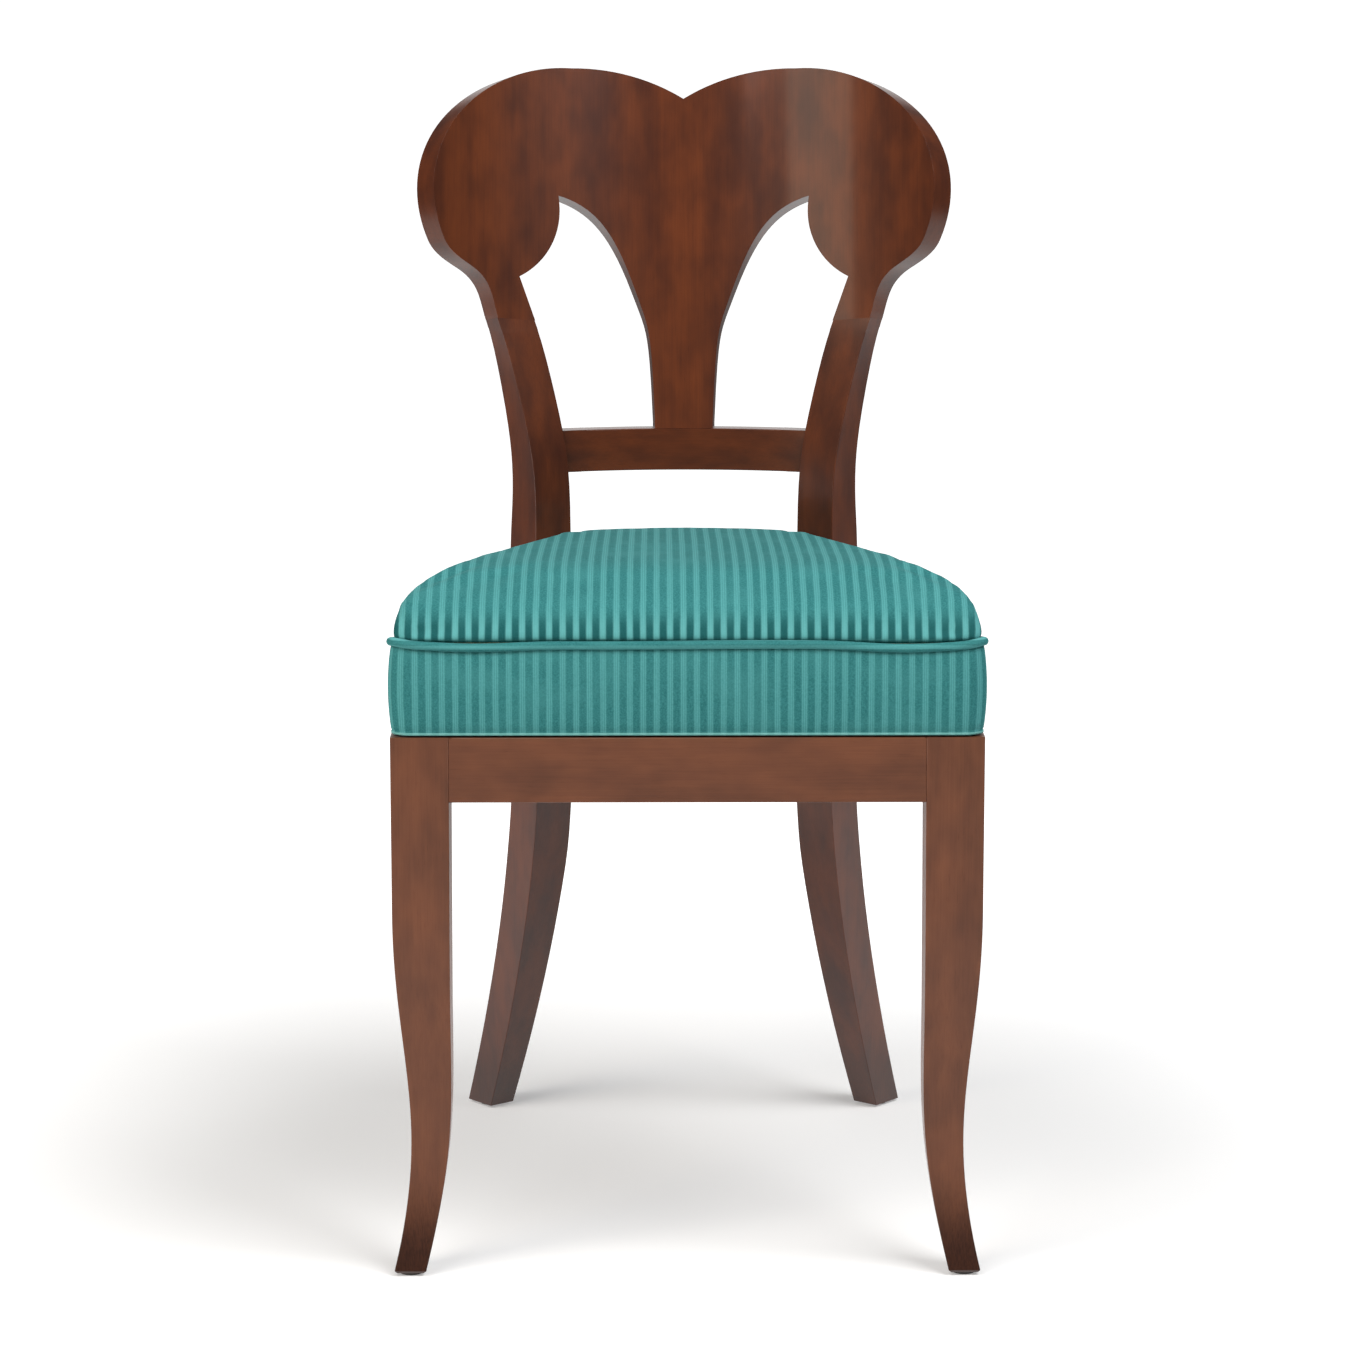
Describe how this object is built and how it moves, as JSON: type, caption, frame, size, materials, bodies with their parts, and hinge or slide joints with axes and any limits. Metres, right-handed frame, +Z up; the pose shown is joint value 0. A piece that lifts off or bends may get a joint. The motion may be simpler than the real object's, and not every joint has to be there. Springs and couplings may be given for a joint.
{
  "type": "dining chair",
  "caption": "Upright dining chair with a hollow, lobed wooden back, swept legs and a boxed, piped seat in striped velvet.",
  "frame": {"origin": "on the floor, under the middle of the chair's box", "axes": "+Z up, the chair faces -Y, +X to the right seen from the front"},
  "size_m": [0.4426, 0.5342, 0.8935],
  "materials": {
    "polished_wood": "red-brown, high gloss",
    "frame_wood": "bare, sanded",
    "striped_velvet": "cut pile stripes on a plain ground",
    "webbing": "woven jute",
    "hessian": "coarse woven jute",
    "foam": "open cell",
    "dust_cloth": "thin black cloth",
    "steel": "plain",
    "glide": "dark, dull"
  },
  "bodies": {
    "root": {"back_corner_block_left": "frame_wood", "back_corner_block_right": "frame_wood", "back_leg_left": "polished_wood", "back_leg_right": "polished_wood", "back_panel": "polished_wood", "back_panel_dowels": "frame_wood", "back_seat_rail": "polished_wood", "corner_block_screws": "steel", "foot_glides": "glide", "front_corner_block_left": "frame_wood", "front_corner_block_right": "frame_wood", "front_leg_left": "polished_wood", "front_leg_right": "polished_wood", "front_seat_rail": "polished_wood", "lower_back_rail": "polished_wood", "seat_cover_boxing": "striped_velvet", "seat_cover_top": "striped_velvet", "seat_dust_cover": "dust_cloth", "seat_foam": "foam", "seat_frame_back": "frame_wood", "seat_frame_front": "frame_wood", "seat_frame_left": "frame_wood", "seat_frame_right": "frame_wood", "seat_hessian": "hessian", "seat_piping": "striped_velvet", "seat_screws": "steel", "side_seat_rail_left": "polished_wood", "side_seat_rail_right": "polished_wood", "webbing_crosswise": "webbing", "webbing_lengthwise": "webbing", "webbing_tacks": "steel"}
  },
  "joints": []
}
